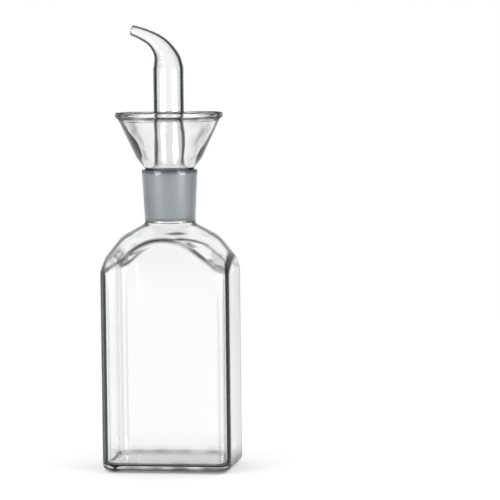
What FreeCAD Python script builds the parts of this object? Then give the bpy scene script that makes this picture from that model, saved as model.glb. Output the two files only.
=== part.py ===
"""Oil dispenser bottle: a clear moulded glass bottle with a lift-out glass pourer.

Millimetres, +Z up. The origin is the centre of the face that the bottle stands on. The broad
faces look along -Y and +Y, and the pourer's spout points along -X.

bottle  rectangular body with rounded corners, domed shoulder and a neck with a ground 1:10 bore
pourer  ground stem, drip funnel with a beaded rim, and the straight part of the pouring tube
spout   the bent, drawn end of the pouring tube, one piece of glass with the pourer
"""

import math
import os

import FreeCAD
import Part
import Sketcher
from FreeCAD import Placement, Rotation, Vector

SIZES = {
    # body, outside
    "body_width": 77.0,
    "body_depth": 60.0,
    "corner_radius": 9.0,
    "base_edge_radius": 5.5,
    # body glass
    "body_wall": 2.8,
    "base_thickness": 5.2,
    "inner_corner_radius": 7.0,
    "inner_base_radius": 2.2,
    # shoulder: a dome turned about the axis, steep below its bend and flatter above it
    "shoulder_foot": 119.0,
    "shoulder_low_slope": 51.0,
    "shoulder_high_slope": 28.0,
    "shoulder_bend": 19.0,
    "shoulder_wall": 1.9,
    "arch_edge_radius": 4.0,
    # neck and ground joint
    "neck_foot": 146.5,
    "neck_wall": 2.05,
    "lip_height": 178.4,
    "lip_edge_radius": 0.6,
    "joint_mouth_radius": 14.6,
    "joint_taper": 0.05,
    "joint_length": 32.0,
    "joint_clearance": 0.05,
    # pourer: stem, drip funnel and its rim; each rise is a height above the lip
    "stem_wall": 2.3,
    "throat_overhang": 0.45,
    "throat_rise": 1.2,
    "hip_overhang": 4.85,
    "hip_rise": 6.8,
    "hip_bend": 14.0,
    "groove_inset": 1.5,
    "funnel_wall": 1.8,
    "rim_rise": 32.3,
    "rim_radius": 30.45,
    "rim_overhang": 1.3,
    "rim_bead_radius": 1.8,
    # pouring tube, and the trumpet that joins it to the stem
    "tube_radius": 9.05,
    "tube_wall": 1.8,
    "tube_rise": 59.9,
    "trumpet_rise": 2.4,
    "trumpet_angle": 60.0,
    "trumpet_bend": 8.0,
    # spout: two tangent arcs, with the tube drawn down to a narrow tip
    "bend_radius": 21.0,
    "bend_angle": 60.0,
    "tip_bend_radius": 50.0,
    "tip_bend_angle": 14.0,
    "spout_wall": 1.5,
}

# Outer radius of the drawn tube: (share of the bend's angle, share of the tip bend's angle, mm).
DRAWN_SECTIONS = (
    ("shoulder", 0.25, 0.0, 8.05),
    ("waist", 0.50, 0.0, 6.45),
    ("shank", 0.78, 0.0, 5.2),
    ("neck", 1.00, 0.0, 4.4),
    ("beak", 1.00, 0.5, 3.9),
    ("tip", 1.00, 1.0, 3.4),
)

doc = FreeCAD.newDocument("oil_dispenser")
sheet = doc.addObject("Spreadsheet::Sheet", "Sizes")


def fill_sheet():
    """Puts every size, and the drawn tube's radii, into the sheet under its own alias."""
    cells = dict(SIZES)
    for name, _, _, radius in DRAWN_SECTIONS:
        cells[f"drawn_{name}_radius"] = radius
    for row, (alias, value) in enumerate(cells.items(), start=1):
        sheet.set(f"A{row}", alias)
        sheet.set(f"B{row}", str(value))
        sheet.setAlias(f"B{row}", alias)
    doc.recompute()


def size(alias):
    """The value that the sheet holds for alias."""
    return float(sheet.get(alias))


def origin_feature(body, role):
    """The body's own origin plane or axis with this role."""
    return next(item for item in body.Origin.OriginFeatures if item.Role == role)


def new_body(name):
    return doc.addObject("PartDesign::Body", name)


def new_sketch(body, name, plane):
    """An empty sketch on one of the body's origin planes."""
    sketch = body.newObject("Sketcher::SketchObject", name)
    sketch.AttachmentSupport = (origin_feature(body, plane), [""])
    sketch.MapMode = "FlatFace"
    return sketch


def pin(sketch, geometry, point, across, up):
    """Holds a sketch point at two expressions, measured from the sketch's origin."""
    for kind, text in (("DistanceX", across), ("DistanceY", up)):
        value = float(sketch.evalExpression(text))
        index = sketch.addConstraint(Sketcher.Constraint(kind, geometry, point, value))
        sketch.setExpression(f"Constraints[{index}]", text)


def hold_radius(sketch, geometry, radius):
    """Binds the radius of a circle or arc to an expression."""
    value = float(sketch.evalExpression(radius))
    index = sketch.addConstraint(Sketcher.Constraint("Radius", geometry, value))
    sketch.setExpression(f"Constraints[{index}]", radius)


def rounded_corner(before, corner, after, radius):
    """Where a fillet of this radius leaves the two sides of a corner, and its middle point."""
    back = (before - corner).normalize()
    ahead = (after - corner).normalize()
    half_angle = back.getAngle(ahead) / 2
    reach = radius / math.tan(half_angle)
    bisector = (back + ahead).normalize()
    middle = corner + bisector * (radius / math.sin(half_angle) - radius)
    return corner + back * reach, middle, corner + ahead * reach


def outline(body, name, plane, corners):
    """A closed sketch of straight sides. corners holds (across, up, radius) as expressions, and
    a corner with a radius is a tangent arc whose sharp corner stays pinned by a point."""
    sketch = new_sketch(body, name, plane)
    doc.recompute()
    places = [
        Vector(*(float(sketch.evalExpression(text)) for text in corner[:2]), 0) for corner in corners
    ]
    count = len(corners)
    leaving, arriving, middles = {}, {}, {}
    for i, (_, _, radius) in enumerate(corners):
        leaving[i] = arriving[i] = places[i]
        if radius:
            arriving[i], middles[i], leaving[i] = rounded_corner(
                places[i - 1],
                places[i],
                places[(i + 1) % count],
                float(sketch.evalExpression(radius)),
            )
    sides = [
        sketch.addGeometry(Part.LineSegment(leaving[i], arriving[(i + 1) % count]))
        for i in range(count)
    ]
    for i, (across, up, radius) in enumerate(corners):
        side_in, side_out = sides[i - 1], sides[i]
        if not radius:
            sketch.addConstraint(Sketcher.Constraint("Coincident", side_in, 2, side_out, 1))
            pin(sketch, side_out, 1, across, up)
            continue
        shape = Part.Arc(arriving[i], middles[i], leaving[i])
        arc = sketch.addGeometry(shape)
        starts_here = sketch.getPoint(arc, 1).distanceToPoint(arriving[i]) < 1e-6
        first, last = (1, 2) if starts_here else (2, 1)
        sketch.addConstraint(Sketcher.Constraint("Tangent", side_in, 2, arc, first))
        sketch.addConstraint(Sketcher.Constraint("Tangent", arc, last, side_out, 1))
        hold_radius(sketch, arc, radius)
        apex = sketch.addGeometry(Part.Point(places[i]), True)
        sketch.addConstraint(Sketcher.Constraint("PointOnObject", apex, 1, side_in))
        sketch.addConstraint(Sketcher.Constraint("PointOnObject", apex, 1, side_out))
        pin(sketch, apex, 1, across, up)
    sketch.Visibility = False
    return sketch


def turn(body, kind, sketch, name):
    """A full Revolution or Groove of the sketch about the body's Z axis."""
    feature = body.newObject(f"PartDesign::{kind}", name)
    feature.Profile = sketch
    feature.ReferenceAxis = (origin_feature(body, "Z_Axis"), [""])
    feature.Angle = 360
    return feature


def round_edges(body, base, name, radius, wanted):
    """A fillet on every edge of base that wanted(edge, faces beside it) accepts."""
    doc.recompute()
    shape = base.Shape
    chosen = [
        f"Edge{number}"
        for number, edge in enumerate(shape.Edges, start=1)
        if wanted(edge, shape.ancestorsOfType(edge, Part.Face))
    ]
    fillet = body.newObject("PartDesign::Fillet", name)
    fillet.Base = (base, chosen)
    fillet.setExpression("Radius", radius)
    return fillet


def upright(face):
    """True for a flat or cylindrical face of the body's sides."""
    surface = face.Surface
    if isinstance(surface, Part.Plane):
        return abs(surface.Axis.z) < 1e-6
    return isinstance(surface, Part.Cylinder) and abs(surface.Axis.z) > 1 - 1e-6


def turned(face):
    """True for a cone or torus about the bottle's axis."""
    return isinstance(face.Surface, (Part.Cone, Part.Toroid))


def at_height(edge, height):
    return all(abs(vertex.Z - height) < 1e-4 for vertex in edge.Vertexes)


# ---------------------------------------------------------------------------------- bottle

# Distance from the axis to the outside of a rounded vertical corner.
CORNER_REACH = (
    "(hypot(Sizes.body_width / 2 - Sizes.corner_radius; Sizes.body_depth / 2 - Sizes.corner_radius)"
    " + Sizes.corner_radius)"
)
SHARP_CORNER = "hypot(Sizes.body_width; Sizes.body_depth) / 2"
NECK_OUTER = (
    "(Sizes.joint_mouth_radius + Sizes.neck_wall"
    " - Sizes.joint_taper * (Sizes.lip_height - Sizes.neck_foot))"
)


def moulded_form(name, width, depth, corner, floor, skin, neck_wall, foot_radius, arch_radius):
    """A rounded block cut down to the shoulder's dome and the neck's cone. skin is how far it lies
    inside the bottle's outer surface, and the other sizes are expressions of its own."""
    body = new_body(name)
    half_width, half_depth = f"({width}) / 2", f"({depth}) / 2"
    plan = outline(
        body,
        f"{name}_plan",
        "XY_Plane",
        [
            (half_width, half_depth, corner),
            (f"-{half_width}", half_depth, corner),
            (f"-{half_width}", f"-{half_depth}", corner),
            (half_width, f"-{half_depth}", corner),
        ],
    )
    plan.setExpression(".AttachmentOffset.Base.z", floor)
    block = body.newObject("PartDesign::Pad", f"{name}_block")
    block.Profile = plan
    block.setExpression("Length", f"Sizes.lip_height - ({floor})")

    low, high = "tan(Sizes.shoulder_low_slope)", "tan(Sizes.shoulder_high_slope)"
    low_drop = f"{skin} / cos(Sizes.shoulder_low_slope)"
    high_drop = f"{skin} / cos(Sizes.shoulder_high_slope)"
    # The upper slope leaves the neck's cone here, and meets the lower slope at the bend.
    neck_line = f"(Sizes.joint_mouth_radius + {neck_wall} - Sizes.joint_taper * Sizes.lip_height)"
    upper_line = f"(Sizes.neck_foot - {high_drop} + {high} * {NECK_OUTER})"
    leave = f"(({upper_line} - {high} * {neck_line}) / (1 + {high} * Sizes.joint_taper))"
    lower_line = f"(Sizes.shoulder_foot - {low_drop} + {low} * {CORNER_REACH})"
    bend = f"(({lower_line} - {upper_line}) / ({low} - {high}))"
    top = "Sizes.lip_height + 1"
    waste = outline(
        body,
        f"{name}_shoulder",
        "XZ_Plane",
        [
            (f"{neck_line} + Sizes.joint_taper * ({top})", top, None),
            (f"{neck_line} + Sizes.joint_taper * {leave}", leave, None),
            (bend, f"{upper_line} - {high} * {bend}", f"Sizes.shoulder_bend - {skin}"),
            (SHARP_CORNER, f"{lower_line} - {low} * {SHARP_CORNER}", None),
            (SHARP_CORNER, top, None),
        ],
    )
    dome = turn(body, "Groove", waste, f"{name}_dome")
    doc.recompute()
    assert dome.Shape.Volume < block.Shape.Volume, "the shoulder groove cut nothing"

    floor_height = float(plan.evalExpression(floor))
    arches = round_edges(
        body,
        dome,
        f"{name}_arches",
        arch_radius,
        lambda edge, faces: any(map(upright, faces)) and any(map(turned, faces)),
    )
    foot = round_edges(
        body,
        arches,
        f"{name}_foot",
        foot_radius,
        lambda edge, faces: at_height(edge, floor_height),
    )
    return body, foot


def make_bottle():
    """The outer form, less the inner form and the ground bore."""
    outside, foot = moulded_form(
        "outside",
        width="Sizes.body_width",
        depth="Sizes.body_depth",
        corner="Sizes.corner_radius",
        floor="0",
        skin="0",
        neck_wall="Sizes.neck_wall",
        foot_radius="Sizes.base_edge_radius",
        arch_radius="Sizes.arch_edge_radius",
    )
    round_edges(
        outside,
        foot,
        "outside_lip",
        "Sizes.lip_edge_radius",
        lambda edge, faces: at_height(edge, size("lip_height")),
    )
    inside, _ = moulded_form(
        "inside",
        width="Sizes.body_width - 2 * Sizes.body_wall",
        depth="Sizes.body_depth - 2 * Sizes.body_wall",
        corner="Sizes.inner_corner_radius",
        floor="Sizes.base_thickness",
        skin="Sizes.shoulder_wall",
        neck_wall="0",
        foot_radius="Sizes.inner_base_radius",
        arch_radius="Sizes.arch_edge_radius",
    )
    bottle = doc.addObject("Part::Cut", "bottle")
    bottle.Base = outside
    bottle.Tool = inside
    return bottle


# ---------------------------------------------------------------------------------- pourer

STEM_FOOT = "(Sizes.lip_height - Sizes.joint_length)"
STEM_TOP_RADIUS = "(Sizes.joint_mouth_radius - Sizes.joint_clearance)"
STEM_FOOT_RADIUS = f"({STEM_TOP_RADIUS} - Sizes.joint_taper * Sizes.joint_length)"
THROAT_RADIUS = f"({STEM_TOP_RADIUS} + Sizes.throat_overhang)"
THROAT_HEIGHT = "(Sizes.lip_height + Sizes.throat_rise)"
HIP_RADIUS = f"({STEM_TOP_RADIUS} + Sizes.hip_overhang)"
HIP_HEIGHT = "(Sizes.lip_height + Sizes.hip_rise)"
RIM_SKIN_RADIUS = "(Sizes.rim_radius + Sizes.rim_overhang)"
GROOVE_RADIUS = f"({STEM_TOP_RADIUS} - Sizes.groove_inset)"
TRUMPET_HEIGHT = "(Sizes.lip_height + Sizes.trumpet_rise)"
RIM_HEIGHT = "(Sizes.lip_height + Sizes.rim_rise)"
TUBE_TOP = "(Sizes.lip_height + Sizes.tube_rise)"


def make_pourer():
    """Stem, funnel and straight tube turned in one, then the rim's bead."""
    body = new_body("pourer")
    bore = "(Sizes.tube_radius - Sizes.tube_wall)"
    spread = "tan(Sizes.trumpet_angle)"
    # The trumpet's inner skin lies one tube wall inside its outer one.
    inner_height = f"({TRUMPET_HEIGHT} - Sizes.tube_wall * tan(Sizes.trumpet_angle / 2))"
    stem_bore = f"({STEM_TOP_RADIUS} - Sizes.stem_wall)"
    slant = f"(({RIM_SKIN_RADIUS} - {HIP_RADIUS}) / ({RIM_HEIGHT} - {HIP_HEIGHT}))"
    lean = f"(Sizes.funnel_wall * sqrt(1 + {slant} ^ 2))"
    groove_height = f"({TRUMPET_HEIGHT} - ({GROOVE_RADIUS} - Sizes.tube_radius) / {spread})"
    # Each of the trumpet's two arcs is held to what the sloping wall beside it leaves room for.
    room = "0.985 / sin(Sizes.trumpet_angle) / tan(Sizes.trumpet_angle / 2)"
    outer_bend = f"min(Sizes.trumpet_bend; ({GROOVE_RADIUS} - Sizes.tube_radius) * {room})"
    inner_bend = f"min(Sizes.trumpet_bend + Sizes.tube_wall; ({stem_bore} - {bore}) * {room})"
    section = outline(
        body,
        "pourer_section",
        "XZ_Plane",
        [
            (STEM_FOOT_RADIUS, STEM_FOOT, None),
            (STEM_TOP_RADIUS, "Sizes.lip_height", None),
            (THROAT_RADIUS, THROAT_HEIGHT, None),
            (HIP_RADIUS, HIP_HEIGHT, "Sizes.hip_bend"),
            (RIM_SKIN_RADIUS, RIM_HEIGHT, None),
            (f"{RIM_SKIN_RADIUS} - {lean}", RIM_HEIGHT, None),
            (GROOVE_RADIUS, groove_height, None),
            ("Sizes.tube_radius", TRUMPET_HEIGHT, outer_bend),
            ("Sizes.tube_radius", TUBE_TOP, None),
            (bore, TUBE_TOP, None),
            (bore, inner_height, inner_bend),
            (stem_bore, f"{inner_height} - ({stem_bore} - {bore}) / {spread}", None),
            (f"{STEM_FOOT_RADIUS} - Sizes.stem_wall", STEM_FOOT, None),
        ],
    )
    turn(body, "Revolution", section, "pourer_turned")

    bead = new_sketch(body, "pourer_rim_section", "XZ_Plane")
    doc.recompute()
    height = float(bead.evalExpression(RIM_HEIGHT))
    centre = Vector(size("rim_radius"), height, 0)
    ring = bead.addGeometry(Part.Circle(centre, Vector(0, 0, 1), size("rim_bead_radius")))
    pin(bead, ring, 3, "Sizes.rim_radius", RIM_HEIGHT)
    hold_radius(bead, ring, "Sizes.rim_bead_radius")
    turn(body, "Revolution", bead, "pourer_rim")
    return body


def make_spout():
    """The drawn spout, which goes on from the top of the pourer's tube, and its bore."""
    body = new_body("spout")
    draw_tube(body, "AdditiveLoft", "spout_skin", "0")
    doc.recompute()
    solid = body.Shape.Volume
    draw_tube(body, "SubtractiveLoft", "spout_bore", "1")
    doc.recompute()
    assert body.Shape.Volume < solid, "the spout's bore cut nothing"
    return body


def draw_tube(body, kind, name, hollow):
    """A loft through circles square to the spout's line. hollow is 1 for the bore and 0 for the
    outside. The line leaves the tube upright, and turns towards -X through two tangent arcs."""
    stations = [("root", "0", "0", "Sizes.tube_radius", "Sizes.tube_wall")]
    for section, bend_share, tip_share, _ in DRAWN_SECTIONS:
        radius = f"Sizes.drawn_{section}_radius"
        stations.append((section, str(bend_share), str(tip_share), radius, "Sizes.spout_wall"))
    circles = []
    for station, bend_share, tip_share, radius, wall in stations:
        turned_by = f"(Sizes.bend_angle * {bend_share})"
        then_by = f"(Sizes.tip_bend_angle * {tip_share})"
        heading = f"({turned_by} + {then_by})"
        out = (
            f"Sizes.bend_radius * (1 - cos({turned_by}))"
            f" + Sizes.tip_bend_radius * (cos({turned_by}) - cos({heading}))"
        )
        rise = (
            f"{TUBE_TOP} + Sizes.bend_radius * sin({turned_by})"
            f" + Sizes.tip_bend_radius * (sin({heading}) - sin({turned_by}))"
        )
        circle = new_sketch(body, f"{name}_{station}", "XY_Plane")
        circle.setExpression(".AttachmentOffset.Base.x", f"-({out})")
        circle.setExpression(".AttachmentOffset.Base.z", rise)
        circle.AttachmentOffset = Placement(Vector(0, 0, 0), Rotation(Vector(0, -1, 0), 1))
        circle.setExpression(".AttachmentOffset.Rotation.Angle", heading)
        doc.recompute()
        text = f"{radius} - {hollow} * {wall}"
        ring = circle.addGeometry(
            Part.Circle(Vector(), Vector(0, 0, 1), float(circle.evalExpression(text)))
        )
        circle.addConstraint(Sketcher.Constraint("Coincident", ring, 3, -1, 1))
        hold_radius(circle, ring, text)
        circles.append(circle)
    loft = body.newObject(f"PartDesign::{kind}", name)
    loft.Profile = circles[0]
    loft.Sections = circles[1:]
    return loft


def check(parts):
    """Stops the build if any object failed to compute or a piece isn't one valid solid."""
    for item in doc.Objects:
        if {"Invalid", "Error"} & set(item.State):
            raise RuntimeError(f"{item.Label} failed: {item.State}")
    for part in parts:
        if part.Shape.isNull() or not part.Shape.isValid() or len(part.Shape.Solids) != 1:
            raise RuntimeError(f"{part.Label} is not one valid solid")


fill_sheet()
parts = [make_bottle(), make_pourer(), make_spout()]
doc.recompute()
check(parts)
os.makedirs("parts", exist_ok=True)
for part in parts:
    part.Shape.exportStep(f"parts/{part.Label}.step")
    box = part.Shape.BoundBox
    print(part.Label, round(part.Shape.Volume), box)
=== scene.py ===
"""Oil dispenser bottle, finished: clear moulded body, ground joint and flame-worked pourer.

Lengths are millimetres until a mesh is made. +Z is up, and the origin is the centre of the foot.
"""

import math

import bpy
import numpy as np
from mathutils import Matrix


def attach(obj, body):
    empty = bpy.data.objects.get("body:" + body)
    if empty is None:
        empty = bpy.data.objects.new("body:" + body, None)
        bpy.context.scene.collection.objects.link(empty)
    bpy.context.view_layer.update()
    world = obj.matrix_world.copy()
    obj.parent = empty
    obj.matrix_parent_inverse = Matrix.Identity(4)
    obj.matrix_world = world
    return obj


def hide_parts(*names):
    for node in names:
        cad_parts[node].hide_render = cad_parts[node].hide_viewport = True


# Points round the body and round the pourer, and a radius larger than any here.
BODY_AROUND, POURER_AROUND, FAR = 288, 160, 60.0

# Body, as moulded.
HALF_WIDTH, HALF_DEPTH, CORNER = 38.5, 30.0, 9.0
FOOT_ROUNDING, WALL, SHOULDER_WALL = 5.5, 2.8, 1.9
INNER_CORNER, INNER_FLOOR, INNER_ROUNDING = 7.0, 5.2, 2.2
SHOULDER_FOOT, LOW_SLOPE, HIGH_SLOPE, SHOULDER_BEND = 119.0, 51.0, 28.0, 19.0
# How softly the dome meets the sides, outside and inside, and how softly it meets the neck.
ARCH_BLEND, INNER_ARCH_BLEND, NECK_BLEND = 2.2, 1.0, 2.4
# Neck and its ground joint.
NECK_FOOT, NECK_WALL, LIP = 146.5, 2.05, 178.4
LIP_ROUNDING, MOUTH_ROUNDING = 0.6, 0.3
MOUTH, TAPER, STEM_LENGTH = 14.6, 0.05, 32.0
# The grey ground face starts this far above the stem's foot, and lies this deep in the glass.
GROUND_START, GROUND_DEPTH, GROUND_HALF = 1.6, 0.03, 0.012
# Pourer: stem, throat just above the lip, the funnel's hip, and its beaded rim. The outer skin
# aims RIM_SKIN outside the rim's middle, and the bead stays open to the wall for BEAD_NECK degrees
# either side of it.
STEM_TOP, STEM_WALL, STEM_EDGE, STEM_ROUNDING = 14.55, 2.3, 0.6, 0.5
THROAT_OUT, THROAT_RISE = 0.45, 1.2
HIP, HIP_HEIGHT, HIP_BEND = 19.4, 185.2, 14.0
RIM, RIM_HEIGHT, RIM_SKIN, BEAD, BEAD_NECK = 30.45, 210.7, 1.3, 1.8, 30.0
# The trumpet that joins the tube to the funnel's floor, from the groove round its foot.
GROOVE, GROOVE_ROUNDING, TRUMPET_HEIGHT, TRUMPET_SLOPE = 13.05, 1.6, 180.8, 60.0
TRUMPET_BEND, TRUMPET_BORE_BEND, STEM_BORE_ROUNDING = 8.0, 9.8, 2.0
# Tube and spout: the degrees and radius of its two arcs, then its radius and wall at STATIONS,
# where 1 is the end of the first arc and 2 the tip.
TUBE, TUBE_WALL, TUBE_TOP = 9.05, 1.8, 238.3
FIRST_TURN, FIRST_ARC, LAST_TURN, LAST_ARC = 60.0, 21.0, 14.0, 50.0
STATIONS = [0.0, 0.25, 0.5, 0.78, 1.0, 1.5, 2.0]
SPOUT_RADII = [TUBE, 8.05, 6.45, 5.2, 4.4, 3.9, 3.4]
SPOUT_WALLS = [TUBE_WALL, 1.5, 1.5, 1.5, 1.5, 1.5, 1.5]
# A line between the funnel's two skins: a radius, its height, and the slope from there. Then how
# far the lining and the rim's bead waver.
LINING, LINING_HEIGHT, LINING_SLOPE = 13.75, 178.49, 0.5185
LINING_WAVE, BEAD_WAVE = 0.2, 0.2

# Painted shade in the glass: dark lines painted into its colour where the glass bends. Each band
# is the middle and the width of a bell: over the gap between the sides and the dome for the arch
# and the wider streaky band beside it, over height for the heel and the floor's fillet, and along
# the wall from the middle of a corner for the streak.
ARCH_BAND, FRINGE_SHADE_BAND = (0.0, 1.1), (1.8, 1.9)
HEEL_BAND, FILLET_BAND, STREAK_BAND = (3.6, 1.6), (6.2, 0.8), (1.6, 0.7)
# A mark's strength where its random field is 0, what the field adds, and its least and most.
ARCH_TONE, FRINGE_SHADE_TONE = (0.85, 0.5, 0.5, 1.0), (0.0, 1.5, 0.0, 0.75)
HEEL_TONE, FILLET_TONE = (0.45, 0.5, 0.1, 0.7), (0.26, 0.1, 0.0, 1.0)
RIM_TONE, FUNNEL_TONE = (0.7, 0.3, 0.4, 0.9), (0.3, 0.3, 0.05, 0.7)
# Painted shade of even strength: the streaks, the mouth's edge, and the arch as seen from outside.
STREAK_TONE, MOUTH_TONE, OUTER_ARCH = 0.22, 0.5, 0.45
# How strongly painted shade darkens the glass where rays enter it aslant: the body's corners
# outside, its inside and neck, the pourer's outside, and its bore.
CORNER_EDGE, INNER_EDGE, POURER_EDGE, BORE_EDGE = 0.65, 0.25, 1.0, 0.15

# How much painted shade the glass colour takes where it mirrors from within, against Fresnel and
# against how much the ray grazes it, and how much where a ray enters an upright surface aslant.
MIRRORED = [(0.0, 0.0), (0.35, 0.03), (0.6, 0.5), (1.0, 1.0)]
SQUARELY = [(0.0, 1.0), (0.36, 1.0), (0.45, 0.72), (0.56, 0.4), (0.7, 0.1), (0.85, 0.0)]
ENTERING = [(0.06, 0.0), (0.1, 0.03), (0.23, 0.1), (0.33, 0.3), (0.38, 0.85), (0.45, 0.8)]
ENTERING += [(0.55, 0.5), (0.66, 0.25), (0.82, 0.08), (1.0, 0.0)]
# How vertical a normal is, from 0 to 1, as its surface stops counting as upright, and the heights
# in metres over which all of the pourer's rim comes to count as upright.
UPRIGHT, RIM_ZONE = (0.5, 0.75), (0.2075, 0.2085)
# Heights in metres between which the painted shade in the foot's thick glass, where it mirrors
# from within, fades to the body's, and how dark that painted shade goes.
FOOT_ZONE, FOOT_DARK = (0.0056, 0.0072), 0.6
# How much of the painted shade from mirroring within and aslant entry shows at each share of
# TALL, a height in metres just past the spout.
TALL = 0.27
SHOWN = [(0.0, 1.0), (0.54, 1.0), (0.56, 0.8), (0.653, 0.8)]
SHOWN += [(0.657, 0.15), (0.672, 0.15), (0.682, 1.0), (1.0, 1.0)]
GLASS_IOR = 1.47
# The clear glass's own faint tint, then the near-black painted shade that its colour turns to.
WATER_WHITE, PAINTED_SHADE = (0.974, 0.977, 0.977), (0.045, 0.05, 0.054)
GROUND_GREY, GROUND_ROUGHNESS = (0.355, 0.393, 0.407, 1.0), 0.45
# The room's strength as light, the floor's paint and its own light, and its size in metres.
ROOM_LIGHT, FLOOR_PAINT, FLOOR_GLOW = 0.8, 0.9, 0.28
FLOOR_RADIUS, FLOOR_SIDES = 3.0, 96
LAMP_AWAY, LAMP_HEIGHT = 1.5, 0.12


def mix_down(a, b, width):
    """The smaller of two lengths, with a rounding where they are within width of each other:
    minimum(a, b) less the square of the remaining closeness, over four widths."""
    near = np.maximum(width - np.abs(a - b), 0.0)
    return np.minimum(a, b) - near**2 / (4.0 * width)


def mix_up(a, b, width):
    """The larger of two lengths, rounded in the same way."""
    return -mix_down(-a, -b, width)


def bell(values, middle, width):
    """1 where values equal middle, fading on both sides: e to the minus square of the distance
    from middle in widths."""
    return np.exp(-(((values - middle) / width) ** 2))


def tone(field, even, added, least, most):
    """A mark's strength: even plus added times the field, kept between least and most."""
    return np.clip(even + added * field, least, most)


def angles_packed_at_corners(count):
    """Angles round the axis, closer together over the body's corners: the running total of a
    weight that is 1 on the sides and 4 over each corner, read back at even steps."""
    corner_at, corner_spread = 0.65, 0.19
    fine = np.linspace(0.0, 2.0 * np.pi, 7201)
    folded = np.arctan2(np.abs(np.sin(fine)), np.abs(np.cos(fine)))
    weight = 1.0 + 3.0 * np.exp(-(((folded - corner_at) / corner_spread) ** 4))
    total = np.concatenate([[0.0], np.cumsum((weight[1:] + weight[:-1]) / 2.0)])
    return np.interp(np.arange(count) / count * total[-1], total, fine)


def rounded_rectangle(angles, half_width, half_depth, corner):
    """Distance from the axis to a rounded rectangle: where the ray meets the nearer flat side,
    or, past the end of that side, where it leaves the corner's circle."""
    across, deep = np.abs(np.cos(angles)), np.abs(np.sin(angles))
    flat = np.minimum(half_width / np.maximum(across, 1e-9), half_depth / np.maximum(deep, 1e-9))
    x, y = half_width - corner, half_depth - corner
    along = x * across + y * deep
    circle = along + np.sqrt(np.maximum(corner**2 - (x**2 + y**2 - along**2), 0.0))
    return np.where((flat * across > x) & (flat * deep > y), circle, flat)


def shoulder_radius(heights, skin):
    """Radius of the shoulder's dome at each height, skin inside the outer one: two straight
    slopes joined by an arc that touches both."""
    low, high = math.radians(LOW_SLOPE), math.radians(HIGH_SLOPE)
    reach = math.hypot(HALF_WIDTH - CORNER, HALF_DEPTH - CORNER) + CORNER
    neck = MOUTH + NECK_WALL - TAPER * (LIP - NECK_FOOT)
    upper = NECK_FOOT - skin / math.cos(high) + math.tan(high) * neck
    lower = SHOULDER_FOOT - skin / math.cos(low) + math.tan(low) * reach
    bend = (lower - upper) / (math.tan(low) - math.tan(high))
    rounding = SHOULDER_BEND - skin
    touch = rounding * math.tan((low - high) / 2.0)
    corner_height = upper - math.tan(high) * bend
    centre = np.array(
        [
            bend - touch * math.cos(high) - rounding * math.sin(high),
            corner_height + touch * math.sin(high) - rounding * math.cos(high),
        ]
    )
    turn = np.linspace(high, low, 24)
    arc_radius = centre[0] + rounding * np.sin(turn)
    arc_height = centre[1] + rounding * np.cos(turn)
    radius = np.concatenate([[0.0], arc_radius, [FAR]])
    height = np.concatenate([[upper], arc_height, [lower - math.tan(low) * FAR]])
    return np.interp(heights, height[::-1], radius[::-1])


def body_rows(
    angles, skin, half_width, half_depth, corner, floor, rounding, neck_wall, top, arch
):
    """Radii and heights of one skin of the body, from the middle of its floor to the neck's top:
    the floor, a quarter-round inset at its edge, then at each height the smaller of the rounded
    rectangle and the dome, and the neck's cone where that is larger. The third result is the gap
    from the dome to the sides, and FAR below the sides."""
    quarter = np.linspace(0.0, np.pi / 2.0, 11)
    radii, heights = [], []
    inset_edge = rounded_rectangle(
        angles, half_width - rounding, half_depth - rounding, corner - rounding
    )
    for share in (0.2, 0.45, 0.7, 0.88, 0.96):
        radii.append(share * inset_edge)
        heights.append(floor)
    for turn in quarter:
        inset = rounding * (1.0 - math.sin(turn))
        radii.append(
            rounded_rectangle(angles, half_width - inset, half_depth - inset, corner - inset)
        )
        heights.append(floor + rounding * (1.0 - math.cos(turn)))
    wall = rounded_rectangle(angles, half_width, half_depth, corner)
    ends = [floor + rounding, SHOULDER_FOOT - 12.0, NECK_FOOT - 4.0, NECK_FOOT + 3.0, top]
    counts = [24, 64, 15, 12]
    climb = np.concatenate(
        [np.linspace(*span)[1:] for span in zip(ends[:-1], ends[1:], counts)]
    )
    cone = MOUTH + neck_wall - TAPER * (LIP - climb)
    dome = mix_up(cone, shoulder_radius(climb, skin), NECK_BLEND)
    radii.extend(mix_down(wall[None, :], dome[:, None], arch))
    heights.extend(climb)
    below = np.full((len(heights) - len(climb), len(angles)), FAR)
    return np.array(radii), np.array(heights), np.concatenate([below, wall - dome[:, None]])


def on_rings(radii, heights, angles):
    """Points at each radius and height round the axis."""
    radii = np.broadcast_to(radii, (len(heights), len(angles)))
    return np.stack(
        [
            radii * np.cos(angles),
            radii * np.sin(angles),
            np.broadcast_to(np.asarray(heights)[:, None], radii.shape),
        ],
        axis=-1,
    )


def rounded_path(corners, steps=6):
    """A path through (radius, height, rounding) corners, each replaced by the arc that touches
    both of its sides: points on the circle about the centre that lies on the corner's bisector."""
    corners = np.array(corners, dtype=float)
    points = [corners[:1, :2]]
    for before, here, after in zip(corners[:-2], corners[1:-1], corners[2:]):
        back, ahead = before[:2] - here[:2], after[:2] - here[:2]
        back, ahead = back / np.linalg.norm(back), ahead / np.linalg.norm(ahead)
        half = math.acos(np.clip(back @ ahead, -1.0, 1.0)) / 2.0
        if here[2] <= 0.0 or abs(half - np.pi / 2.0) < 1e-3:
            points.append(here[None, :2])
            continue
        bisector = (back + ahead) / np.linalg.norm(back + ahead)
        centre = here[:2] + bisector * here[2] / math.sin(half)
        start = here[:2] + back * here[2] / math.tan(half) - centre
        end = here[:2] + ahead * here[2] / math.tan(half) - centre
        sweep = np.pi - 2.0 * half
        share = np.linspace(0.0, 1.0, steps + 1)[:, None]
        turned = start * np.sin((1.0 - share) * sweep) + end * np.sin(share * sweep)
        points.append(centre + turned / math.sin(sweep))
    points.append(corners[-1:, :2])
    return np.concatenate(points)


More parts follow.
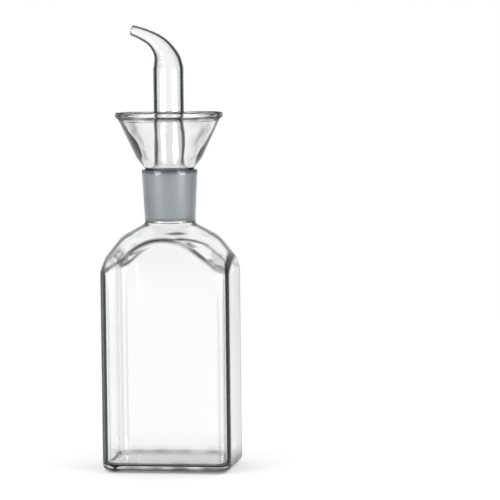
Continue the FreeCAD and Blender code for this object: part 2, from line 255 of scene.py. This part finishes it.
def split_long(path, longest):
    """The same path with extra points, so that no step is longer than longest."""
    steps = np.linalg.norm(np.diff(path, axis=0), axis=1)
    run = np.concatenate([[0.0], np.cumsum(steps)])
    extra = [
        np.linspace(a, b, max(2, math.ceil((b - a) / longest) + 1))[:-1]
        for a, b in zip(run[:-1], run[1:])
        if b > a
    ]
    at = np.append(np.concatenate(extra), run[-1])
    return np.stack([np.interp(at, run, path[:, 0]), np.interp(at, run, path[:, 1])], axis=-1)


def cloud(rows, grain, seed):
    """A smooth random field between about -1 and 1 at the points of rows: the sum of 24 sine
    waves in random directions, whose lengths are near grain along each axis, over its spread."""
    count, spread = 24, 6.0
    random = np.random.default_rng(seed)
    waves = random.normal(size=(count, 3)) * 2.0 / np.array(grain)
    turns = random.uniform(0.0, 2.0 * np.pi, count)
    total = sum(np.sin(rows @ wave + turn) for wave, turn in zip(waves, turns))
    return total / spread


def make_piece(name, rows, closed_on_itself, **marks):
    """A closed mesh from rows of points round the axis. Its last row meets its first when
    closed_on_itself, or else one point closes each end. It is turned so that the volume that its
    triangles enclose with the origin is positive. marks are shares, one for each point or row, that
    its material reads."""
    count, around = rows.shape[:2]
    points = rows.reshape(-1, 3) * 0.001
    row = np.arange(count if closed_on_itself else count - 1)[:, None] * around
    step = np.arange(around)[None, :]
    ahead = (step + 1) % around
    above = (row + around) % (count * around)
    quads = np.stack([row + step, row + ahead, above + ahead, above + step], -1).reshape(-1, 4)
    first, second, third, fourth = (points[quads[:, i]] for i in range(4))
    enclosed = np.einsum("ij,ij->", first, np.cross(second, third))
    enclosed += np.einsum("ij,ij->", first, np.cross(third, fourth))
    caps = np.empty((0, 3), int)
    if not closed_on_itself:
        ends = np.array([rows[0].mean(0), rows[-1].mean(0)]) * 0.001
        low, high = len(points), len(points) + 1
        points = np.concatenate([points, ends])
        last = (count - 1) * around
        caps = np.concatenate(
            [
                np.stack([0 * step[0] + low, ahead[0], step[0]], -1),
                np.stack([0 * step[0] + high, last + step[0], last + ahead[0]], -1),
            ]
        )
        enclosed += np.einsum(
            "ij,ij->", points[caps[:, 0]], np.cross(points[caps[:, 1]], points[caps[:, 2]])
        )
    if enclosed < 0.0:
        quads, caps = quads[:, ::-1], caps[:, ::-1]
    mesh = bpy.data.meshes.new(name)
    mesh.from_pydata(points.tolist(), [], quads.tolist() + caps.tolist())
    mesh.shade_smooth()
    for mark, share in marks.items():
        values = np.zeros(len(points), np.float32)
        values[: count * around] = np.broadcast_to(share, (count, around)).ravel()
        layer = mesh.attributes.new(mark, "FLOAT", "POINT")
        layer.data.foreach_set("value", np.clip(values, 0.0, 1.0))
    piece = bpy.data.objects.new(name, mesh)
    bpy.context.scene.collection.objects.link(piece)
    return piece


def bottle_marks(rows, level, gap, within):
    """How much painted shade the body's glass takes as dark lines, and how much painted shade
    darkens its edges. Inside, the dark lines are the largest of the arch, the wider streaky band
    beside it, the floor's fillet and the corners' streaks; outside, of a weaker arch, the heel and
    the mouth's edge. The edge shade is painted where the wall bends, and all round the neck."""
    streaky = cloud(rows, (18.0, 18.0, 3.0), 3)
    patchy = cloud(rows, (9.0, 9.0, 14.0), 5)
    arch = bell(gap, *ARCH_BAND) * tone(patchy, *ARCH_TONE)
    fringe_shade = bell(gap, *FRINGE_SHADE_BAND) * tone(streaky, *FRINGE_SHADE_TONE)
    heel = bell(level, *HEEL_BAND) * tone(patchy, *HEEL_TONE)
    fillet = bell(level, *FILLET_BAND) * tone(patchy, *FILLET_TONE)
    past_x = np.abs(rows[..., 0]) - (HALF_WIDTH - WALL - INNER_CORNER)
    past_y = np.abs(rows[..., 1]) - (HALF_DEPTH - WALL - INNER_CORNER)
    along = INNER_CORNER * (np.arctan2(past_y, past_x) - np.pi / 4.0)
    straight = (level > INNER_FLOOR + 1.8) & (level < SHOULDER_FOOT - 3.0)
    streak = bell(np.abs(along), *STREAK_BAND) * ((past_x > 0.0) & (past_y > 0.0) & straight)
    mouth = MOUTH_TONE * (rows[..., 2] > LIP - 0.7)
    # Painted shade: the dark lines inside and outside the body.
    smoke = np.where(
        within,
        np.maximum.reduce([arch, fringe_shade, fillet, STREAK_TONE * streak]),
        np.maximum.reduce([OUTER_ARCH * arch, heel, mouth]),
    )
    # Painted edge shade where the wall bends, and all round the neck.
    bent = np.clip(np.minimum(past_x, past_y) + 0.8, 0.0, 1.0)
    on_body = np.where(within, INNER_EDGE, CORNER_EDGE) * bent
    return smoke, np.where(level > NECK_FOOT - 3.0, INNER_EDGE, on_body)


def blown_bottle(angles):
    """The whole bottle as one closed skin: the outside from its foot to the lip, over the lip's
    rounded edge, and down the bore and the inside to the middle of the inner floor."""
    outer, outer_heights, outer_gap = body_rows(
        angles,
        skin=0.0,
        half_width=HALF_WIDTH,
        half_depth=HALF_DEPTH,
        corner=CORNER,
        floor=0.0,
        rounding=FOOT_ROUNDING,
        neck_wall=NECK_WALL,
        top=LIP - LIP_ROUNDING,
        arch=ARCH_BLEND,
    )
    inner, inner_heights, inner_gap = body_rows(
        angles,
        skin=SHOULDER_WALL,
        half_width=HALF_WIDTH - WALL,
        half_depth=HALF_DEPTH - WALL,
        corner=INNER_CORNER,
        floor=INNER_FLOOR,
        rounding=INNER_ROUNDING,
        neck_wall=0.0,
        top=LIP - MOUTH_ROUNDING,
        arch=INNER_ARCH_BLEND,
    )
    quarter = np.linspace(0.0, np.pi / 2.0, 6)[1:]
    rounding_middle = MOUTH + NECK_WALL - LIP_ROUNDING
    lip = np.append(rounding_middle + LIP_ROUNDING * np.cos(quarter), MOUTH + MOUTH_ROUNDING)
    lip_heights = np.append(LIP - LIP_ROUNDING + LIP_ROUNDING * np.sin(quarter), LIP)
    radii = np.concatenate([outer, np.repeat(lip[:, None], len(angles), 1), inner[::-1]])
    heights = np.concatenate([outer_heights, lip_heights, inner_heights[::-1]])
    rows = on_rings(radii, heights, angles)
    gap = np.concatenate([outer_gap, np.full((len(lip), len(angles)), FAR), inner_gap[::-1]])
    within = np.arange(len(heights))[:, None] >= len(outer) + len(lip)
    smoke, edge = bottle_marks(rows, heights[:, None], gap, within)
    return make_piece("bottle_glass", rows, False, smoke=smoke, edge=edge)


def tube_line(shares, tip_shares):
    """How far out and how high the drawn tube's middle is, and its heading, after these shares of
    its two tangent arcs: on each arc the middle moves out by the arc's radius times the fall in
    the heading's cosine, and up by the radius times the rise in its sine."""
    turned = np.radians(FIRST_TURN) * shares
    heading = turned + np.radians(LAST_TURN) * tip_shares
    out = FIRST_ARC * (1.0 - np.cos(turned)) + LAST_ARC * (np.cos(turned) - np.cos(heading))
    rise = FIRST_ARC * np.sin(turned) + LAST_ARC * (np.sin(heading) - np.sin(turned))
    return out, TUBE_TOP + rise, heading


def pourer_profile():
    """The turned profile below the bend as two paths of (radius, height): up the outside, over
    the bead and the funnel's lining to the tube's top, and down the bore to the stem's foot."""
    stem_foot = LIP - STEM_LENGTH
    foot_radius = STEM_TOP - TAPER * STEM_LENGTH
    slope = math.atan2(RIM + RIM_SKIN - HIP, RIM_HEIGHT - HIP_HEIGHT)
    bead_span = np.linspace(math.radians(BEAD_NECK), math.radians(360.0 - BEAD_NECK), 21)
    turn = np.radians(-90.0) - slope + bead_span
    bead_arc = np.stack([RIM + BEAD * np.cos(turn), RIM_HEIGHT + BEAD * np.sin(turn)], -1)
    outside = rounded_path(
        [
            (foot_radius - STEM_EDGE, stem_foot, 0.0),
            (foot_radius, stem_foot, STEM_ROUNDING),
            (STEM_TOP, LIP, 0.8),
            (STEM_TOP + THROAT_OUT, LIP + THROAT_RISE, 0.6),
            (HIP, HIP_HEIGHT, HIP_BEND),
            (*bead_arc[0], 0.0),
        ]
    )
    steep = math.tan(math.radians(TRUMPET_SLOPE))
    inside = rounded_path(
        [
            (*bead_arc[-1], 0.0),
            (GROOVE, TRUMPET_HEIGHT - (GROOVE - TUBE) / steep, GROOVE_ROUNDING),
            (TUBE, TRUMPET_HEIGHT, TRUMPET_BEND),
            (TUBE, TUBE_TOP, 0.0),
        ]
    )
    bore, stem_bore = TUBE - TUBE_WALL, STEM_TOP - STEM_WALL
    inner_height = TRUMPET_HEIGHT - TUBE_WALL / steep
    back = rounded_path(
        [
            (bore, TUBE_TOP, 0.0),
            (bore, inner_height, TRUMPET_BORE_BEND),
            (stem_bore, inner_height - (stem_bore - bore) / steep, STEM_BORE_ROUNDING),
            (foot_radius - STEM_WALL, stem_foot, STEM_ROUNDING),
            (foot_radius - STEM_EDGE, stem_foot, 0.0),
        ]
    )
    up = np.concatenate([outside, bead_arc[1:-1], inside])
    return split_long(up, 3.0), split_long(back, 3.0)


def pourer_marks(rows, outer):
    """How much painted shade the pourer's glass takes as dark lines, how much painted shade darkens
    its edges, and which points are on its bead and on the funnel's lining. The bead's painted shade
    lies towards its top and its underside, and the funnel's painted edge shade is uneven."""
    level = rows[..., 2]
    reach = np.hypot(rows[..., 0], rows[..., 1])
    wavy = cloud(rows, (7.0, 7.0, 6.0), 8)
    bead = np.hypot(reach - RIM, level - RIM_HEIGHT) < BEAD * 1.05
    poles = np.abs(level - RIM_HEIGHT) / BEAD
    # Painted shade on the bead, towards its top and its underside.
    smoke = bead * np.clip((poles - 0.4) * 3.0, 0.0, 1.0) * tone(wavy, *RIM_TONE)
    funnel = (level < RIM_HEIGHT - BEAD) & (level > LIP + 1.5) & (reach > TUBE + 2.0)
    # Painted edge shade: even on the outside and the bore, uneven over the funnel.
    plain = np.where(outer, POURER_EDGE, BORE_EDGE)
    lining = funnel & (reach < LINING + LINING_SLOPE * (level - LINING_HEIGHT))
    return smoke, np.where(funnel, tone(wavy, *FUNNEL_TONE), plain), bead, lining


def waver(rows, bead, lining):
    """The same points with the funnel's lining drawn in and out, more so from 3 to 9 above the
    lip, and the bead moved up and down, each by a random field times its own wave."""
    level = rows[..., 2]
    reach = np.hypot(rows[..., 0], rows[..., 1])
    drawn = lining * LINING_WAVE * cloud(rows, (7.0, 7.0, 14.0), 6)
    pull = 1.0 - drawn * np.clip((level - LIP - 3.0) / 6.0, 0.0, 1.0) / reach
    rows = np.concatenate([rows[..., :2] * pull[..., None], rows[..., 2:]], -1)
    rows[..., 2] += bead * BEAD_WAVE * cloud(rows, (9.0, 9.0, 40.0), 4)
    return rows


def drawn_pourer(angles):
    """The pourer as one closed skin. Below the bend it is a turned profile; beyond it, rings
    square to two tangent arcs, whose radius follows the drawn-down outside or the bore."""
    up, down = pourer_profile()
    first, last = 24, 10
    shares = np.append(np.linspace(0.0, 1.0, first + 1)[1:], np.ones(last))
    tip_shares = np.append(np.zeros(first), np.linspace(0.0, 1.0, last + 1)[1:])
    out, rise, heading = tube_line(shares, tip_shares)
    width = np.interp(shares + tip_shares, STATIONS, SPOUT_RADII)
    wall = np.interp(shares + tip_shares, STATIONS, SPOUT_WALLS)

    def there_and_back(values, at_foot, at_end):
        """Values along the spout's outside, across its end and back along the bore."""
        middle = [values, np.full(2, values[-1]), values[::-1]]
        return np.concatenate([at_foot, *middle, at_end])

    zero_up, zero_down = np.zeros(len(up)), np.zeros(len(down))
    across_end = width[-1] - wall[-1] * np.array([0.35, 0.75])
    radius = np.concatenate([up[:, 0], width, across_end, (width - wall)[::-1], down[:, 0]])
    aside = there_and_back(out, zero_up, zero_down)[:, None]
    height = there_and_back(rise, up[:, 1], down[:, 1])[:, None]
    tilt = there_and_back(heading, zero_up, zero_down)[:, None]
    across, deep = radius[:, None] * np.cos(angles), radius[:, None] * np.sin(angles)
    rows = np.stack(
        [across * np.cos(tilt) - aside, deep, across * np.sin(tilt) + height], axis=-1
    )
    outer = np.arange(len(rows))[:, None] < len(up) + len(width)
    smoke, edge, bead, lining = pourer_marks(rows, outer)
    return make_piece("pourer_glass", waver(rows, bead, lining), True, smoke=smoke, edge=edge)


def ground_skin(angles):
    """The ground face of the neck's bore as a thin closed cone, just under the glass: the bore's
    radius at each height plus the skin's depth, and half its thickness either side."""
    heights = np.linspace(LIP - STEM_LENGTH + GROUND_START, LIP - MOUTH_ROUNDING, 12)
    middle = MOUTH - TAPER * (LIP - heights) + GROUND_DEPTH
    radii = np.concatenate([middle + GROUND_HALF, middle[::-1] - GROUND_HALF])
    rows = on_rings(radii[:, None], np.concatenate([heights, heights[::-1]]), angles)
    return make_piece("ground_skin", rows, True)


def empty_tree(owner):
    """The node tree of a material or a world, with nothing in it."""
    owner.use_nodes = True
    owner.node_tree.nodes.clear()
    return owner.node_tree


def add_node(tree, kind, inputs=(), **settings):
    """A node of this kind with its own properties set. inputs gives, for a socket's name or
    place, the socket that feeds it or its plain value."""
    node = tree.nodes.new(kind)
    for name, value in settings.items():
        setattr(node, name, value)
    for socket, value in dict(inputs).items():
        if isinstance(value, bpy.types.NodeSocket):
            tree.links.new(value, node.inputs[socket])
        else:
            node.inputs[socket].default_value = value
    return node


def add_math(tree, operation, *values):
    """The result of an operation on these sockets or numbers."""
    return add_node(tree, "ShaderNodeMath", enumerate(values), operation=operation).outputs[0]


def add_ramp(tree, source, stops):
    """The grey level that these (position, level) stops give for source."""
    node = add_node(tree, "ShaderNodeValToRGB", {"Fac": source})
    elements = node.color_ramp.elements
    while len(elements) > 1:
        elements.remove(elements[-1])
    elements[0].position, elements[0].color = stops[0][0], (*[stops[0][1]] * 3, 1.0)
    for position, level in stops[1:]:
        elements.new(position).color = (*[level] * 3, 1.0)
    return node.outputs["Color"]


def add_range(tree, source, low, high, at_low, at_high):
    """Source carried from the range low to high to the range at_low to at_high."""
    inputs = enumerate((source, low, high, at_low, at_high))
    return add_node(tree, "ShaderNodeMapRange", inputs).outputs["Result"]


def seen_directly(tree):
    """1 for rays from the camera and in gloss and glass, and 0 for rays that gather light."""
    path = add_node(tree, "ShaderNodeLightPath").outputs
    either = add_math(tree, "MAXIMUM", path["Is Camera Ray"], path["Is Glossy Ray"])
    return add_math(tree, "MAXIMUM", either, path["Is Transmission Ray"])


def clear_glass(name, tint, deep):
    """Clear glass with painted shade: its colour goes from tint to the painted shade deep. The
    share of
    deep is the larger of two: how mirror-like the surface is from within, times how squarely the
    ray meets it; and how aslant the ray enters an upright surface, times its edge mark. The larger
    is scaled by height, and the mark of painted dark lines takes over where it is larger still."""
    material = bpy.data.materials.new(name)
    tree = empty_tree(material)
    place = add_node(tree, "ShaderNodeTexCoord").outputs
    height = add_node(tree, "ShaderNodeSeparateXYZ", {"Vector": place["Object"]}).outputs["Z"]
    lean = add_node(tree, "ShaderNodeSeparateXYZ", {"Vector": place["Normal"]}).outputs["Z"]
    graze = add_node(tree, "ShaderNodeLayerWeight").outputs["Facing"]
    edge, smoke = (
        add_node(tree, "ShaderNodeAttribute", attribute_name=mark).outputs["Fac"]
        for mark in ("edge", "smoke")
    )

    mirror = add_node(tree, "ShaderNodeFresnel", {"IOR": GLASS_IOR}).outputs["Fac"]
    foot = add_range(tree, height, *FOOT_ZONE, FOOT_DARK, 0.0)
    square = add_math(tree, "MAXIMUM", add_ramp(tree, graze, SQUARELY), foot)
    within = add_math(tree, "MULTIPLY", add_ramp(tree, mirror, MIRRORED), square)

    inside = add_node(tree, "ShaderNodeNewGeometry").outputs["Backfacing"]
    outside = add_math(tree, "SUBTRACT", 1.0, inside)
    upright = add_range(tree, add_math(tree, "ABSOLUTE", lean), *UPRIGHT, 1.0, 0.0)
    upright = add_math(tree, "MAXIMUM", upright, add_range(tree, height, *RIM_ZONE, 0.0, 1.0))
    aslant = add_math(tree, "MULTIPLY", add_ramp(tree, graze, ENTERING), outside)
    entering = add_math(tree, "MULTIPLY", add_math(tree, "MULTIPLY", aslant, edge), upright)

    # Painted shade from mirroring within and from aslant entry.
    dark = add_math(tree, "MAXIMUM", within, entering)
    shown = add_ramp(tree, add_math(tree, "DIVIDE", height, TALL), SHOWN)
    share = add_math(tree, "MAXIMUM", add_math(tree, "MULTIPLY", dark, shown), smoke)
    # The glass colour, mixed towards the painted shade.
    shade = add_node(tree, "ShaderNodeMix", {"Factor": share}, data_type="RGBA")
    first, second = (socket for socket in shade.inputs if socket.type == "RGBA")
    first.default_value, second.default_value = (*tint, 1.0), (*deep, 1.0)
    shaded = next(socket for socket in shade.outputs if socket.type == "RGBA")
    glass = add_node(
        tree, "ShaderNodeBsdfGlass", {"Color": shaded, "Roughness": 0.0, "IOR": GLASS_IOR}
    )
    add_node(tree, "ShaderNodeOutputMaterial", {"Surface": glass.outputs["BSDF"]})
    return material


def ground_glass(name):
    """Grey satin of a finely ground face."""
    material = bpy.data.materials.new(name)
    material.use_nodes = True
    shader = material.node_tree.nodes["Principled BSDF"]
    shader.inputs["Base Color"].default_value = GROUND_GREY
    shader.inputs["Roughness"].default_value = GROUND_ROUGHNESS
    return material


def paint(piece, material):
    """Gives the piece this material alone."""
    piece.data.materials.clear()
    piece.data.materials.append(material)


def bright_everywhere():
    """White surroundings: full white to the camera and in gloss and glass, and a little lower as
    light, so that a colour renders about as it is written."""
    world = bpy.data.worlds.new("white_room")
    bpy.context.scene.world = world
    tree = empty_tree(world)
    white = (1.0, 1.0, 1.0, 1.0)
    light, seen = (
        add_node(tree, "ShaderNodeBackground", {"Color": white, "Strength": strength}).outputs[0]
        for strength in (ROOM_LIGHT, 1.0)
    )
    mix = add_node(tree, "ShaderNodeMixShader", {0: seen_directly(tree), 1: light, 2: seen})
    add_node(tree, "ShaderNodeOutputWorld", {"Surface": mix.outputs[0]})


def white_floor():
    """A round white floor that keeps the shadow: white paint plus a little light of its own that
    only the camera, gloss and glass see."""
    angles = np.linspace(0.0, 2.0 * np.pi, FLOOR_SIDES + 1)[:-1]
    points = FLOOR_RADIUS * np.stack([np.cos(angles), np.sin(angles), 0.0 * angles], -1)
    mesh = bpy.data.meshes.new("floor")
    mesh.from_pydata(points.tolist(), [], [list(range(FLOOR_SIDES))])
    floor = bpy.data.objects.new("floor", mesh)
    bpy.context.scene.collection.objects.link(floor)
    material = bpy.data.materials.new("white_floor")
    tree = empty_tree(material)
    colour = (FLOOR_PAINT, FLOOR_PAINT, FLOOR_PAINT, 1.0)
    matt = add_node(tree, "ShaderNodeBsdfDiffuse", {"Color": colour}).outputs[0]
    strength = add_math(tree, "MULTIPLY", seen_directly(tree), FLOOR_GLOW)
    glow = add_node(tree, "ShaderNodeEmission", {"Strength": strength}).outputs[0]
    both = add_node(tree, "ShaderNodeAddShader", {0: matt, 1: glow})
    add_node(tree, "ShaderNodeOutputMaterial", {"Surface": both.outputs[0]})
    paint(floor, material)


def soft_lamp(name, bearing, size, power):
    """A soft box LAMP_AWAY from the bottle's axis, level with its shoulder, on this bearing in
    degrees from the front face. Its size is in metres and its power in watts."""
    data = bpy.data.lights.new(name, "AREA")
    data.shape = "RECTANGLE"
    data.size, data.size_y = size
    data.energy = power
    lamp = bpy.data.objects.new(name, data)
    turn = math.radians(bearing)
    place = (LAMP_AWAY * math.sin(turn), -LAMP_AWAY * math.cos(turn), LAMP_HEIGHT)
    facing = Matrix.Rotation(turn, 4, "Z") @ Matrix.Rotation(math.radians(90.0), 4, "X")
    lamp.matrix_world = Matrix.Translation(place) @ facing
    bpy.context.scene.collection.objects.link(lamp)


def set_camera():
    """A long lens a metre and a half away, a little below the tube's top, looking slightly down
    and leaning a little."""
    data = bpy.data.cameras.new("camera")
    data.sensor_width = 36.0
    data.lens = 186.3
    data.clip_start, data.clip_end = 0.05, 50.0
    camera = bpy.data.objects.new("camera", data)
    round_axis, away, height = math.radians(10.24), 1.540, 0.2305
    aim_right, aim_down, lean = math.radians(1.761), math.radians(3.74), math.radians(0.61)
    turn = (
        Matrix.Rotation(round_axis - aim_right, 4, "Z")
        @ Matrix.Rotation(math.pi / 2.0 - aim_down, 4, "X")
        @ Matrix.Rotation(-lean, 4, "Z")
    )
    place = (away * math.sin(round_axis), -away * math.cos(round_axis), height)
    camera.matrix_world = Matrix.Translation(place) @ turn
    bpy.context.scene.collection.objects.link(camera)
    bpy.context.scene.camera = camera


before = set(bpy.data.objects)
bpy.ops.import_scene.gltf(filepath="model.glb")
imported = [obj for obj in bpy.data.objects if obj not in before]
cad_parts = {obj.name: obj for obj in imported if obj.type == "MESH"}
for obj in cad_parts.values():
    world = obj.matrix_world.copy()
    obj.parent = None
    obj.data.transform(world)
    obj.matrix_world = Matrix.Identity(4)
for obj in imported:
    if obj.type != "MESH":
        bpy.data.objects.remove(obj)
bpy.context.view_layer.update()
bpy.context.scene.view_settings.view_transform = "Standard"

packed = angles_packed_at_corners(BODY_AROUND)
even = np.arange(POURER_AROUND) / POURER_AROUND * 2.0 * np.pi

bottle = blown_bottle(packed)
paint(bottle, clear_glass("bottle_clear", WATER_WHITE, PAINTED_SHADE))
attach(bottle, "root")
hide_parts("bottle")

pourer = drawn_pourer(even)
paint(pourer, clear_glass("pourer_clear", WATER_WHITE, PAINTED_SHADE))
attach(pourer, "root")
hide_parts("pourer")
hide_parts("spout")

joint = ground_skin(even)
paint(joint, ground_glass("joint_satin"))
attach(joint, "root")

bright_everywhere()
white_floor()
soft_lamp("left_window", -39.0, (0.85, 0.5), 18.0)
soft_lamp("right_window", 59.0, (0.95, 0.5), 20.0)
set_camera()
